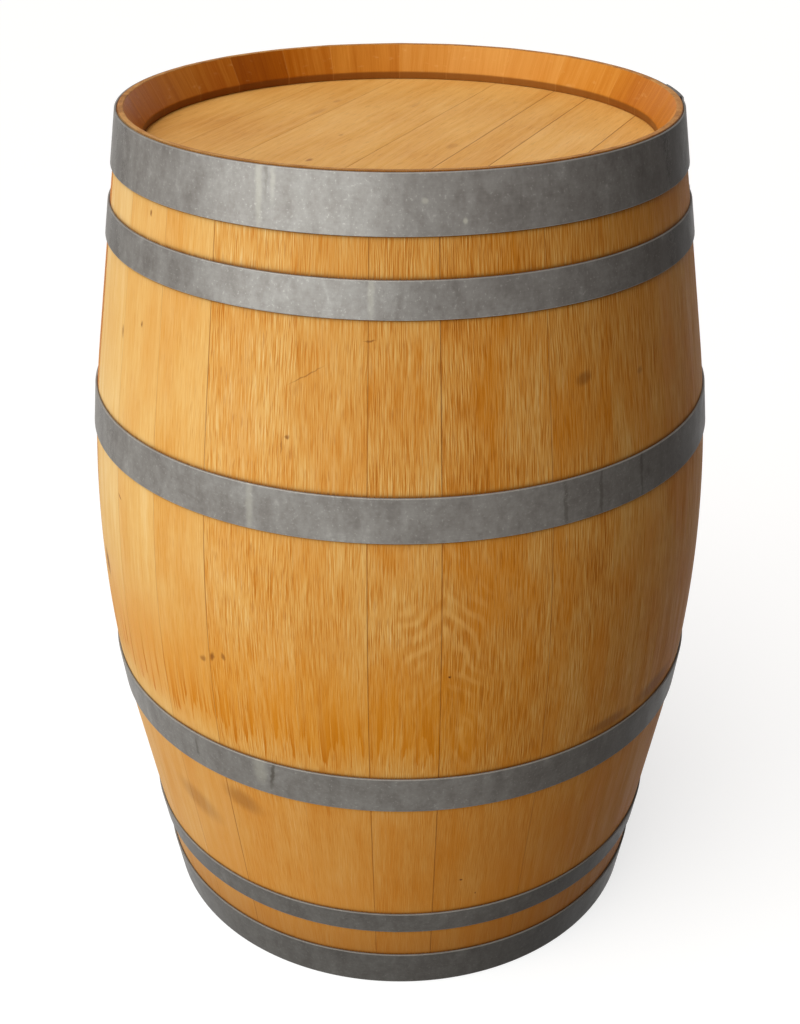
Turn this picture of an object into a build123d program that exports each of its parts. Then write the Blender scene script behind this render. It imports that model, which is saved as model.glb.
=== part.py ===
from build123d import *
from itertools import pairwise
from math import acos, atan2, cos, degrees, hypot, radians, sin, sqrt
import os

# A wine barrel on its end: bent oak staves, two doweled heads, six lapped hoops and a bung.
# Millimetres. The origin is the centre of the base, +Z runs up the axis, the bung points along +Y.

# Barrel
barrel_height = 950.0
bilge_diameter = 692.0
end_inset = 58.5  # of the stave ends from the bilge
bend_radius_share = 0.728  # of the arc through the bilge and both ends, the rest of a stave is straight

# Staves, anticlockwise from above, the bung stave first
stave_thickness = 27.0
stave_width_shares = (
    17.3, 12.1, 14.7, 13.3, 16.5, 14.5, 16.5, 15.8, 12.8, 12.3, 16.8, 12.1, 11.9,
    18.8, 12.7, 14.8, 13.0, 13.4, 13.4, 13.9, 12.0, 18.7, 15.3, 15.3, 12.1,
)
rim_width = 6.5
chime_depth = 29.0

# Heads, sunk below the rims and held in the crozes
head_depth = 38.0
head_thickness = 22.0
head_bevel_width = 34.0
tongue_thickness = 9.0
croze_depth = 6.0
croze_clearance = 0.15
board_angle = 57.5
board_joint_shares = (-0.746, -0.478, -0.308, -0.026, 0.406, 0.68)  # of the head's radius

# Dowels between the boards
dowel_diameter = 8.0
dowel_length = 32.0
dowel_clearance = 0.1
dowel_place_shares = (-0.55, 0.55)  # of half the joint's length

# Hoops, as the gap from each to the nearer end, and the strip's width
head_hoop_offset = 1.0
quarter_hoop_offset = 92.5
bilge_hoop_offset = 291.5
top_head_hoop_width = 54.0
top_quarter_hoop_width = 35.0
bottom_head_hoop_width = 49.0
bottom_quarter_hoop_width = 30.0
bilge_hoop_width = 45.0
hoop_thickness = 2.0
hoop_clearance = 0.1
lap_length = 58.0
lap_gap = 0.1
joggle_length = 18.0
top_end_lap_azimuth = 352.0
top_bilge_lap_azimuth = 60.0
bottom_bilge_lap_azimuth = 115.0
bottom_end_lap_azimuth = 30.0

# Rivets through the laps
rivet_diameter = 6.0
rivet_head_diameter = 13.0
rivet_crown_diameter = 8.0
rivet_head_height = 2.4
rivet_clearance = 0.1
rivet_place_shares = (0.27, 0.73)  # of the lap's length

# Bung and its hole
bung_hole_diameter = 50.0
bung_taper_angle = 3.5
bung_length = 44.0
bung_stand = 9.0
bung_edge = 2.0
bung_clearance = 0.2

overrun = 5.0  # of every cut past the piece that it cuts

half_height = barrel_height / 2
bilge_radius = bilge_diameter / 2
end_radius = bilge_radius - end_inset

# The bend: an arc about a point at mid height, and the tangents from both ends to that arc
bend_radius = bend_radius_share * (half_height**2 + end_inset**2) / (2 * end_inset)
bend_centre = bilge_radius - bend_radius
end_reach = hypot(end_radius - bend_centre, half_height)
bend_angle = atan2(half_height, end_radius - bend_centre) - acos(bend_radius / end_reach)


def stave_radius(height, inset=0.0):
    """Radius of a stave's face at a height, that far inside its outer face."""
    rise = abs(height - half_height)
    radius = bend_radius - inset
    if rise < radius * sin(bend_angle):
        return bend_centre + sqrt(radius**2 - rise**2)
    return bend_centre + (radius - rise * sin(bend_angle)) / cos(bend_angle)


def polar(radius, azimuth):
    """Point of a level sketch at a radius and an azimuth in degrees."""
    return (radius * cos(radians(azimuth)), radius * sin(radians(azimuth)))


# Chime and croze, as radius and depth below the end
croze_top = head_depth - croze_clearance
croze_bottom = head_depth + tongue_thickness + croze_clearance
croze_radius = stave_radius(croze_top, stave_thickness) + croze_depth
chime_outline = [
    (end_radius, 0),
    (end_radius - rim_width, 0),
    (stave_radius(chime_depth, stave_thickness), chime_depth),
    (stave_radius(croze_top, stave_thickness), croze_top),
    (croze_radius, croze_top),
    (croze_radius, croze_bottom),
    (stave_radius(croze_bottom, stave_thickness), croze_bottom),
]

# One section serves all staves
with BuildSketch(Plane.XZ) as stave_section:
    with BuildLine():
        outer_face = CenterArc(
            (bend_centre, half_height), bend_radius, -degrees(bend_angle), 2 * degrees(bend_angle)
        )
        inner_face = CenterArc(
            (bend_centre, half_height),
            bend_radius - stave_thickness,
            -degrees(bend_angle),
            2 * degrees(bend_angle),
        )
        top_chime = [(radius, barrel_height - depth) for radius, depth in chime_outline]
        Polyline(outer_face @ 1, *top_chime, inner_face @ 1)
        Polyline(outer_face @ 0, *chime_outline, inner_face @ 0)
    make_face()

# The bung hole tapers inwards from the bilge
bung_axis = Plane((0, bilge_radius, half_height), x_dir=(1, 0, 0), z_dir=(0, 1, 0))
bung_slope = sin(radians(bung_taper_angle)) / cos(radians(bung_taper_angle))


def bung_radius(stand, clearance=0.0):
    """Radius of the bung hole, or of the bung inside it, that far out from the bilge."""
    return bung_hole_diameter / 2 + stand * bung_slope - clearance


def make_stave(name, start, width, has_bung_hole):
    """A stave between two planes through the axis, swept round from a start azimuth."""
    with BuildPart() as stave:
        revolve(stave_section.sketch.rotate(Axis.Z, start), axis=Axis.Z, revolution_arc=width)
        if has_bung_hole:
            hole_depth = stave_thickness + overrun
            with Locations(bung_axis.offset((overrun - hole_depth) / 2)):
                Cone(
                    bung_radius(-hole_depth),
                    bung_radius(overrun),
                    hole_depth + overrun,
                    mode=Mode.SUBTRACT,
                )
    stave.part.label = name
    export_step(stave.part, f"parts/{name}.step")


stave_step = 360 / sum(stave_width_shares)
stave_start = 90 - stave_step * stave_width_shares[0] / 2
for number, width_share in enumerate(stave_width_shares, start=1):
    stave_name = "bung_stave" if number == 1 else f"stave_{number:02d}"
    make_stave(stave_name, stave_start, stave_step * width_share, number == 1)
    stave_start += stave_step * width_share

# Head section, as radius and depth inwards from the outer face
head_radius = croze_radius - croze_clearance
tongue_radius = stave_radius(croze_bottom, stave_thickness) - croze_clearance
head_outline = [
    (0, 0),
    (head_radius, 0),
    (head_radius, tongue_thickness),
    (tongue_radius, tongue_thickness),
    (tongue_radius - head_bevel_width, head_thickness),
    (0, head_thickness),
]
grain = Vector(cos(radians(board_angle)), sin(radians(board_angle)), 0)
across = Vector(-sin(radians(board_angle)), cos(radians(board_angle)), 0)
board_joints = [share * head_radius for share in board_joint_shares]
board_edges = [-head_radius - overrun, *board_joints, head_radius + overrun]


def dowel_planes(joint, middle_height):
    """Planes square to the dowels of one joint between two boards, at their middles."""
    half_joint = sqrt(head_radius**2 - joint**2)
    centre = across * joint + Vector(0, 0, middle_height)
    return [
        Plane(centre + grain * (share * half_joint), x_dir=grain, z_dir=across)
        for share in dowel_place_shares
    ]


def make_board(name, face_height, inward, low_edge, high_edge):
    """One board: a strip of the bevelled head, with holes for the dowels of its joints."""
    middle_height = face_height + inward * head_thickness / 2
    with BuildPart() as board:
        with BuildSketch(Plane.XZ):
            with BuildLine():
                edge = [(radius, face_height + inward * depth) for radius, depth in head_outline]
                Polyline(*edge, close=True)
            make_face()
        revolve(axis=Axis.Z)
        with BuildSketch(Plane((0, 0, middle_height), x_dir=grain, z_dir=(0, 0, 1))):
            with Locations((0, (low_edge + high_edge) / 2)):
                Rectangle(2 * (head_radius + overrun), high_edge - low_edge)
        extrude(amount=head_thickness, both=True, mode=Mode.INTERSECT)
        for joint in (low_edge, high_edge):
            if joint in board_joints:
                with Locations(*dowel_planes(joint, middle_height)):
                    Cylinder(
                        dowel_diameter / 2 + dowel_clearance,
                        dowel_length + 2 * dowel_clearance,
                        mode=Mode.SUBTRACT,
                    )
    board.part.label = name
    export_step(board.part, f"parts/{name}.step")


def make_dowels(name, middle_height):
    """All dowels of a head, each half in one board and half in the next."""
    with BuildPart() as dowels:
        for joint in board_joints:
            with Locations(*dowel_planes(joint, middle_height)):
                Cylinder(dowel_diameter / 2, dowel_length)
    dowels.part.label = name
    export_step(dowels.part, f"parts/{name}.step")


for end_name, face_height, inward in (
    ("top", barrel_height - head_depth, -1),
    ("bottom", head_depth, 1),
):
    for number, (low_edge, high_edge) in enumerate(pairwise(board_edges), start=1):
        make_board(f"{end_name}_head_board_{number}", face_height, inward, low_edge, high_edge)
    make_dowels(f"{end_name}_head_dowels", face_height + inward * head_thickness / 2)

# One rivet, its head on z zero and its shank through both layers of a lap
lap_thickness = 2 * hoop_thickness + lap_gap
with BuildPart() as rivet:
    with BuildSketch(Plane.XZ):
        with BuildLine():
            Polyline(
                (rivet_head_diameter / 2, 0),
                (rivet_diameter / 2, 0),
                (rivet_diameter / 2, -lap_thickness * cos(bend_angle)),
                (0, -lap_thickness * cos(bend_angle)),
                (0, rivet_head_height),
                (rivet_crown_diameter / 2, rivet_head_height),
                close=True,
            )
        make_face()
    revolve(axis=Axis.Z)


def hoop_radius(height, width):
    """Radius inside a hoop at one of its edges, clear of the stave's bulge between the edges."""
    return stave_radius(height) + width**2 / (8 * bend_radius) + hoop_clearance


def rivet_planes(low, width, lap_azimuth, lap_angle):
    """Planes on the outside of a hoop's lap, square to its rivets."""
    low_radius = hoop_radius(low, width)
    high_radius = hoop_radius(low + width, width)
    middle_radius = (low_radius + high_radius) / 2 + lap_thickness
    planes = []
    for share in rivet_place_shares:
        x, y = polar(1, lap_azimuth + share * lap_angle)
        out = Vector(x * width, y * width, low_radius - high_radius)
        place = Vector(x * middle_radius, y * middle_radius, low + width / 2)
        planes.append(Plane(place, x_dir=(-y, x, 0), z_dir=out))
    return planes


def make_hoop(name, low, width, lap_azimuth):
    """A strip bent to the taper, its end stepped out over its start, and the rivets of that lap."""
    lap_angle = degrees(lap_length / stave_radius(low + width / 2))
    joggle_angle = degrees(joggle_length / stave_radius(low + width / 2))
    single_turn = 360 - joggle_angle
    places = rivet_planes(low, width, lap_azimuth, lap_angle)
    with BuildPart() as hoop:
        for height in (low, low + width):
            inner = hoop_radius(height, width)
            outer = inner + hoop_thickness
            lapped_inner = outer + lap_gap
            lapped_outer = lapped_inner + hoop_thickness
            with BuildSketch(Plane.XY.offset(height)):
                with BuildLine():
                    inside = CenterArc((0, 0), inner, lap_azimuth, single_turn)
                    outside = CenterArc((0, 0), outer, lap_azimuth, single_turn)
                    lap_inside = CenterArc((0, 0), lapped_inner, lap_azimuth, lap_angle)
                    lap_outside = CenterArc((0, 0), lapped_outer, lap_azimuth, lap_angle)
                    Line(inside @ 0, outside @ 0)
                    Line(inside @ 1, lap_inside @ 0)
                    Line(outside @ 1, lap_outside @ 0)
                    Line(lap_inside @ 1, lap_outside @ 1)
                make_face()
        loft(ruled=True)
        with Locations(*places):
            Cylinder(rivet_diameter / 2 + rivet_clearance, 2 * (lap_thickness + overrun), mode=Mode.SUBTRACT)
    hoop.part.label = name
    export_step(hoop.part, f"parts/{name}.step")
    with BuildPart() as rivets:
        with Locations(*places):
            add(rivet.part)
    rivets.part.label = f"{name}_rivets"
    export_step(rivets.part, f"parts/{name}_rivets.step")


for hoop_name, offset, width, lap_azimuth in (
    ("top_head_hoop", head_hoop_offset, top_head_hoop_width, top_end_lap_azimuth),
    ("top_quarter_hoop", quarter_hoop_offset, top_quarter_hoop_width, top_end_lap_azimuth),
    ("top_bilge_hoop", bilge_hoop_offset, bilge_hoop_width, top_bilge_lap_azimuth),
):
    make_hoop(hoop_name, barrel_height - offset - width, width, lap_azimuth)
for hoop_name, offset, width, lap_azimuth in (
    ("bottom_bilge_hoop", bilge_hoop_offset, bilge_hoop_width, bottom_bilge_lap_azimuth),
    ("bottom_quarter_hoop", quarter_hoop_offset, bottom_quarter_hoop_width, bottom_end_lap_azimuth),
    ("bottom_head_hoop", head_hoop_offset, bottom_head_hoop_width, bottom_end_lap_azimuth),
):
    make_hoop(hoop_name, offset, width, lap_azimuth)

with BuildPart() as bung:
    with Locations(bung_axis.offset(bung_stand - bung_length / 2)):
        Cone(
            bung_radius(bung_stand - bung_length, bung_clearance),
            bung_radius(bung_stand, bung_clearance),
            bung_length,
        )
    chamfer(bung.edges().filter_by(GeomType.CIRCLE), length=bung_edge)
bung.part.label = "bung"
export_step(bung.part, "parts/bung.step")
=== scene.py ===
import math

import bpy
import numpy as np
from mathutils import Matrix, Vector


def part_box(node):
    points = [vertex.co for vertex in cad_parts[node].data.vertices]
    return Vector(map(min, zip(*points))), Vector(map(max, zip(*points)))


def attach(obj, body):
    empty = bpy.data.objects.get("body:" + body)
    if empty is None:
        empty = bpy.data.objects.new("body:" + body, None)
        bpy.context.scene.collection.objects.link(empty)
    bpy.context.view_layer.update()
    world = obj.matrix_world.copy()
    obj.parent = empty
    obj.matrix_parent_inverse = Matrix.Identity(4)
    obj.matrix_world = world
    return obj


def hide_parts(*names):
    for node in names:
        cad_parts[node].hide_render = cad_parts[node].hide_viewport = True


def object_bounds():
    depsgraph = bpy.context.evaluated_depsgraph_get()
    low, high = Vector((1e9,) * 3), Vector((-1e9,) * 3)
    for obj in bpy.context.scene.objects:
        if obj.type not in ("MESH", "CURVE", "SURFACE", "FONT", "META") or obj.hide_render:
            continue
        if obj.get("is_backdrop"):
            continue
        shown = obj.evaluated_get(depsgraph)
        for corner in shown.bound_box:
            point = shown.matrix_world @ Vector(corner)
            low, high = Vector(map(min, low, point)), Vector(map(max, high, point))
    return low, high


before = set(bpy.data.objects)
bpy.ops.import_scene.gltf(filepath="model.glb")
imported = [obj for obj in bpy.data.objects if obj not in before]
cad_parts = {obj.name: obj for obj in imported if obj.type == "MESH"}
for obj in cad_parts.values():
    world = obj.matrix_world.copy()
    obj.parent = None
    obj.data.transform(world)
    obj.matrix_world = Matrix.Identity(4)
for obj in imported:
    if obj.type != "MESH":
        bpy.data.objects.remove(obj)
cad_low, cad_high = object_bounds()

# A wine barrel on its end. Metres, in the frame of the CAD part: the base is at z zero, the bung on +Y.

# Barrel, as the part has it
barrel_height = cad_high.z
half_height = barrel_height / 2
bilge_radius = 0.346
end_inset = 0.0585
end_radius = bilge_radius - end_inset
bend_radius_share = 0.728
stave_thickness = 0.027
rim_width = 0.0065
chime_depth = 0.029
head_depth = 0.038
head_thickness = 0.022
head_bevel_width = 0.034
tongue_thickness = 0.009
croze_depth = 0.006
croze_clearance = 0.00015
board_angle = math.radians(57.5)
hoop_thickness = 0.002
hoop_clearance = 0.0001
lap_length = 0.058
lap_gap = 0.0001
joggle_length = 0.018
hoop_laps = {
    "top_head_hoop": math.radians(352),
    "top_quarter_hoop": math.radians(352),
    "top_bilge_hoop": math.radians(60),
    "bottom_bilge_hoop": math.radians(115),
    "bottom_quarter_hoop": math.radians(30),
    "bottom_head_hoop": math.radians(30),
}
rivet_radius = 0.003
rivet_head_radius = 0.0065
rivet_head_height = 0.0024
rivet_place_shares = (0.27, 0.73)
bung_hole_radius = 0.025
bung_slope = math.tan(math.radians(3.5))
bung_length = 0.044
bung_stand = 0.009
bung_clearance = 0.0002
bung_core = 0.001

bend_radius = bend_radius_share * (half_height**2 + end_inset**2) / (2 * end_inset)
bend_centre = bilge_radius - bend_radius
end_reach = math.hypot(end_radius - bend_centre, half_height)
bend_angle = math.atan2(half_height, end_radius - bend_centre) - math.acos(bend_radius / end_reach)

# Camera: where the photograph was taken from, about the barrel's axis
camera_azimuth = math.radians(261.25)
camera_distance = 1.52335
camera_height = 1.28367
camera_pitch = math.radians(28.274)
camera_lens = 51.28
film_size = 36.0


def stave_radius(height, inset=0.0):
    """Radius of a stave's face: an arc about a point at mid height, then its tangents to both ends."""
    rise = np.abs(np.asarray(height, float) - half_height)
    radius = bend_radius - inset
    arc = bend_centre + np.sqrt(np.maximum(radius**2 - rise**2, 0))
    tangent = bend_centre + (radius - rise * math.sin(bend_angle)) / math.cos(bend_angle)
    return np.where(rise < radius * math.sin(bend_angle), arc, tangent)


def photo_azimuth(degrees_right):
    """Azimuth of a place on the barrel that many degrees to the right of the side facing the camera."""
    return camera_azimuth + math.radians(degrees_right)


def wrapped(angle):
    """An angle brought between minus and plus half a turn."""
    return (angle + math.pi) % (2 * math.pi) - math.pi


def soften(corners, sizes, steps=4):
    """Rounds the inner corners of an open outline: from a size before each corner to that size after it
    runs a parabola, which at a share t of its way has the square of one less t of its first point, twice t
    times one less t of the corner and the square of t of its last point."""
    corners = np.asarray(corners, float)
    sizes = np.asarray(sizes, float)[:, None]
    back = corners[:-2] - corners[1:-1]
    ahead = corners[2:] - corners[1:-1]
    start = corners[1:-1] + sizes * back / np.linalg.norm(back, axis=1)[:, None]
    end = corners[1:-1] + sizes * ahead / np.linalg.norm(ahead, axis=1)[:, None]
    t = np.linspace(0, 1, steps)[None, :, None]
    curve = (1 - t) ** 2 * start[:, None] + 2 * t * (1 - t) * corners[1:-1, None] + t**2 * end[:, None]
    return curve.reshape(-1, 2)


def outline_normals(outline):
    """Unit normals of a closed outline: the direction from each point's neighbour before to the one after,
    turned a quarter, and pointing away from the enclosed side."""
    run = np.roll(outline, -1, axis=0) - np.roll(outline, 1, axis=0)
    normals = np.stack([run[:, 1], -run[:, 0]], axis=1)
    normals /= np.linalg.norm(normals, axis=1)[:, None]
    ahead = np.roll(outline, -1, axis=0)
    turning = np.sum(outline[:, 0] * ahead[:, 1] - ahead[:, 0] * outline[:, 1])
    return normals if turning > 0 else -normals


def fan(loop):
    """Triangles from a loop's first corner to each of its other edges."""
    return np.stack([np.full(len(loop) - 2, loop[0]), loop[1:-1], loop[2:]], axis=1)


def carried(rings):
    """Faces of a closed profile carried along a path: quads between neighbouring rings and a cap at both
    ends. The sum of the corners' triple products over all triangles is six times the volume, and its sign
    turns the faces."""
    stations, corners = rings.shape[:2]
    index = np.arange(stations * corners).reshape(stations, corners)
    after = np.roll(index, -1, axis=1)
    quads = np.stack([index[:-1], after[:-1], after[1:], index[1:]], axis=-1).reshape(-1, 4)
    caps = [index[0, ::-1], index[-1]]
    triangles = np.concatenate([quads[:, [0, 1, 2]], quads[:, [0, 2, 3]], fan(caps[0]), fan(caps[1])])
    a, b, c = rings.reshape(-1, 3)[triangles].transpose(1, 0, 2)
    if np.sum(a * np.cross(b, c)) < 0:
        quads = quads[:, ::-1]
        caps = [cap[::-1] for cap in caps]
    return quads, caps


def placed(name, data):
    """An object with that mesh, light or camera, in the scene."""
    thing = bpy.data.objects.new(name, data)
    bpy.context.scene.collection.objects.link(thing)
    return thing


def make_piece(name, solids, body, finishes, replaced=None, sharp=40.0):
    """One piece from one or more solids, each a dictionary of its rings, its grain (metres across and
    along), its marks (a number a point) and the finish of each step round the profile and of the caps."""
    points = []
    faces = []
    face_finish = []
    grain = []
    marks = {}
    start = 0
    for solid in solids:
        rings = solid["rings"]
        quads, caps = carried(rings)
        stations, corners = rings.shape[:2]
        points.append(rings.reshape(-1, 3))
        faces += (quads + start).tolist()
        faces += [(cap + start).tolist() for cap in caps]
        around = np.broadcast_to(solid.get("finish", np.zeros(corners, int)), (stations - 1, corners))
        face_finish.append(np.concatenate([around.ravel(), np.full(2, solid.get("cap_finish", 0))]))
        grain.append(np.broadcast_to(solid["grain"], (stations, corners, 2)).reshape(-1, 2))
        for mark, values in solid.get("marks", {}).items():
            marks.setdefault(mark, []).append(np.broadcast_to(values, (stations, corners)).ravel())
        start += stations * corners
    mesh = bpy.data.meshes.new(name)
    mesh.from_pydata(np.concatenate(points).tolist(), [], faces)
    for finish in finishes:
        mesh.materials.append(finish)
    mesh.polygons.foreach_set("material_index", np.concatenate(face_finish).astype(np.int32))
    corner_point = np.empty(len(mesh.loops), np.int32)
    mesh.loops.foreach_get("vertex_index", corner_point)
    layer = mesh.uv_layers.new(name="grain")
    layer.data.foreach_set("uv", np.concatenate(grain)[corner_point].astype(np.float32).ravel())
    for mark, values in marks.items():
        attribute = mesh.attributes.new(mark, "FLOAT", "POINT")
        attribute.data.foreach_set("value", np.concatenate(values).astype(np.float32))
    mesh.shade_smooth()
    mesh.set_sharp_from_angle(angle=math.radians(sharp))
    mesh.validate()
    mesh.update()
    piece = placed(name, mesh)
    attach(piece, body)
    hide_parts(replaced or name)
    return piece


# Finishes


def paint(red, green, blue):
    """A colour as it shows on a screen, 0 to 255, turned into the light values that a shader takes."""
    shown = np.array([red, green, blue]) / 255
    light = np.where(shown <= 0.04045, shown / 12.92, ((shown + 0.055) / 1.055) ** 2.4)
    return (*light.tolist(), 1.0)


class Nodes:
    """A node tree, with short ways to add to it."""

    def __init__(self, tree):
        self.tree = tree

    def join(self, value, socket):
        """Links a socket to a value, or sets the value on it."""
        if isinstance(value, bpy.types.NodeSocket):
            self.tree.links.new(value, socket)
        else:
            socket.default_value = value

    def add(self, kind, inputs, **settings):
        """A node of a kind, with its settings and with its inputs linked or set."""
        node = self.tree.nodes.new(kind)
        for key, value in settings.items():
            setattr(node, key, value)
        for key, value in inputs.items():
            self.join(value, node.inputs[key])
        return node

    def work(self, operation, *values, clamp=False):
        """A sum of numbers, or another step of arithmetic."""
        node = self.add("ShaderNodeMath", dict(enumerate(values)), operation=operation, use_clamp=clamp)
        return node.outputs["Value"]

    def times(self, first, second, clamp=False):
        """The product of two numbers."""
        return self.work("MULTIPLY", first, second, clamp=clamp)


class Finish(Nodes):
    """A procedural material in the making."""

    def __init__(self, name):
        self.material = bpy.data.materials.new(name)
        self.material.use_nodes = True
        super().__init__(self.material.node_tree)
        self.shader = self.tree.nodes["Principled BSDF"]

    def grain(self):
        """The piece's own map: metres across and along the grain."""
        return self.add("ShaderNodeUVMap", {}, uv_map="grain").outputs["UV"]

    def place(self):
        """The place on the object."""
        return self.add("ShaderNodeTexCoord", {}).outputs["Object"]

    def height(self):
        """The height above the floor."""
        return self.add("ShaderNodeSeparateXYZ", {0: self.place()}).outputs["Z"]

    def mark(self, name):
        """A number that the piece carries on its points."""
        return self.add("ShaderNodeAttribute", {}, attribute_name=name).outputs["Fac"]

    def mark_colour(self, name):
        """The same number as a grey."""
        return self.add("ShaderNodeAttribute", {}, attribute_name=name).outputs["Color"]

    def stretch(self, vector, *scale):
        """A place scaled along each axis."""
        return self.vector("MULTIPLY", vector, (*scale, 1.0)[:3])

    def vector(self, operation, first, second):
        """A sum, product or length of places."""
        node = self.add("ShaderNodeVectorMath", {0: first, 1: second}, operation=operation)
        return node.outputs["Value" if operation == "LENGTH" else "Vector"]

    def noise(self, vector, scale=1.0, detail=2.0, roughness=0.5, distortion=0.0):
        """Soft random clouds, about 0.5 on the whole."""
        inputs = {
            "Vector": vector,
            "Scale": scale,
            "Detail": detail,
            "Roughness": roughness,
            "Distortion": distortion,
        }
        return self.add("ShaderNodeTexNoise", inputs).outputs["Fac"]

    def wander(self, vector, scale, reach):
        """A place moved aside by clouds of a scale, by a reach along each axis."""
        clouds = self.add("ShaderNodeTexNoise", {"Vector": vector, "Scale": scale, "Detail": 2.0})
        offset = self.vector("SUBTRACT", clouds.outputs["Color"], (0.5, 0.5, 0.5))
        return self.vector("ADD", vector, self.vector("MULTIPLY", offset, reach))

    def rise(self, value, start, end, low=0.0, high=1.0):
        """A smooth step from low, where the value is at start, to high, where it is at end."""
        inputs = {"Value": value, "From Min": start, "From Max": end, "To Min": low, "To Max": high}
        node = self.add("ShaderNodeMapRange", inputs, interpolation_type="SMOOTHSTEP")
        return node.outputs["Result"]

    def blend(self, share, first, second, way="MIX"):
        """Two colours mixed by a share, or the second laid over the first another way."""
        inputs = {0: share, 6: first, 7: second}
        return self.add("ShaderNodeMix", inputs, data_type="RGBA", blend_type=way).outputs[2]

    def ramp(self, value, *stops):
        """Colours along a value, each stop a place and a colour as it shows."""
        node = self.add("ShaderNodeValToRGB", {0: value})
        elements = node.color_ramp.elements
        for element, stop in zip(elements, (stops[0], stops[-1])):
            element.position = stop[0]
            element.color = paint(*stop[1:])
        for position, *colour in stops[1:-1]:
            elements.new(position).color = paint(*colour)
        return node.outputs["Color"]

    def around(self):
        """Metres round the barrel at the bilge, and metres up."""
        place = self.add("ShaderNodeSeparateXYZ", {0: self.place()}).outputs
        azimuth = self.work("ARCTAN2", place["Y"], place["X"])
        across = self.times(azimuth, bilge_radius)
        return self.add("ShaderNodeCombineXYZ", {0: across, 1: place["Z"]}).outputs[0]

    def spots(self, vector, places):
        """The most of a number of slanted ellipses, each a place, a reach across and along, a slant and a
        strength: that strength in its middle and 0 past its edge."""
        shown = 0.0
        for first, second, across, along, slant, strength in places:
            inputs = {
                "Vector": vector,
                "Location": (first, second, 0.0),
                "Rotation": (0.0, 0.0, math.radians(slant)),
                "Scale": (across, along, 1.0),
            }
            local = self.add("ShaderNodeMapping", inputs, vector_type="TEXTURE").outputs[0]
            spot = self.rise(self.vector("LENGTH", local, (0, 0, 0)), 1.0, 0.25, 0.0, strength)
            shown = self.work("MAXIMUM", shown, spot)
        return shown

    def done(self, colour, roughness, relief=None, depth=0.0002, specular=0.4):
        """The finished material: colour and roughness, and a relief as a bump of that depth."""
        self.join(colour, self.shader.inputs["Base Color"])
        self.join(roughness, self.shader.inputs["Roughness"])
        self.shader.inputs["Specular IOR Level"].default_value = specular
        if relief is not None:
            bump = self.add("ShaderNodeBump", {"Height": relief, "Distance": depth, "Strength": 1.0})
            self.join(bump.outputs["Normal"], self.shader.inputs["Normal"])
        return self.material


def oak_layers(finish, grain):
    """What all oak here shares: broad clouds, long streaks, grain lines, fine fibres and short open pores."""
    squat = finish.wander(finish.stretch(grain, 1.0, 0.3), 28.0, (0.005, 0.0, 0.0))
    crinkled = finish.wander(finish.stretch(squat, 1.0, 1.4), 170.0, (0.0011, 0.0, 0.0))
    path = finish.stretch(crinkled, 1.0, 1 / 0.42)
    return {
        "path": path,
        "clouds": finish.noise(finish.stretch(grain, 11.0, 5.0), detail=3.0, roughness=0.55),
        "streaks": finish.noise(finish.stretch(path, 130.0, 5.0), detail=3.0, roughness=0.6),
        "lines": finish.noise(finish.stretch(path, 1050.0, 26.0), detail=2.0, roughness=0.6),
        "fibres": finish.noise(finish.stretch(path, 1300.0, 45.0), detail=2.0, roughness=0.6),
        "pores": finish.noise(finish.stretch(path, 800.0, 48.0), detail=1.0, roughness=0.5),
    }


def on_wall(rows):
    """The same rows with degrees right of the camera's side turned into metres round the barrel."""
    return [((photo_azimuth(row[0]) - 2 * math.pi) * bilge_radius, *row[1:]) for row in rows]


def total(finish, *parts):
    """A half plus each layer's swing about a half, times its weight."""
    result = 0.5
    for layer, weight in parts:
        swing = finish.work("MULTIPLY_ADD", layer, weight, -0.5 * weight)
        result = finish.work("ADD", result, swing)
    return result


# Marks on the staves: degrees right of the camera's side, height, reach across and along, slant, strength
wood_marks = (
    (-52.3, 0.775, 0.0022, 0.0045, 0.0, 0.8),
    (-59.6, 0.7555, 0.0035, 0.009, 0.0, 0.5),
    (32.3, 0.751, 0.014, 0.009, 12.0, 0.5),
    (45.8, 0.74, 0.006, 0.005, 0.0, 0.4),
    (-70.0, 0.467, 0.012, 0.022, 20.0, 0.75),
    (-58.4, 0.579, 0.006, 0.0014, -40.0, 0.7),
    (-35.6, 0.446, 0.006, 0.005, 30.0, 0.55),
    (-33.5, 0.4525, 0.004, 0.0075, -15.0, 0.7),
    (-31.1, 0.458, 0.0035, 0.006, 15.0, 0.6),
    (12.2, 0.173, 0.0024, 0.0024, 0.0, 1.0),
    (15.5, 0.1465, 0.0016, 0.0022, 0.0, 0.8),
    (-31.0, 0.264, 0.036, 0.02, -20.0, 0.4),
    (-44.0, 0.222, 0.05, 0.024, -20.0, 0.32),
    (-51.5, 0.8826, 0.0024, 0.004, 0.0, 0.8),
    (-15.5, 0.7685, 0.028, 0.0009, 29.0, 0.5),
    (-18.6, 0.709, 0.0035, 0.0028, 0.0, 0.7),
    (-19.5, 0.70, 0.0012, 0.011, 0.0, 0.5),
    (8.1, 0.465, 0.0018, 0.002, 0.0, 1.0),
    (-4.9, 0.8035, 0.008, 0.0012, 8.0, 0.6),
    (14.0, 0.842, 0.016, 0.004, 0.0, 0.5),
    (41.0, 0.348, 0.05, 0.012, 0.0, 0.55),
    (56.0, 0.352, 0.06, 0.016, 0.0, 0.6),
)


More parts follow.
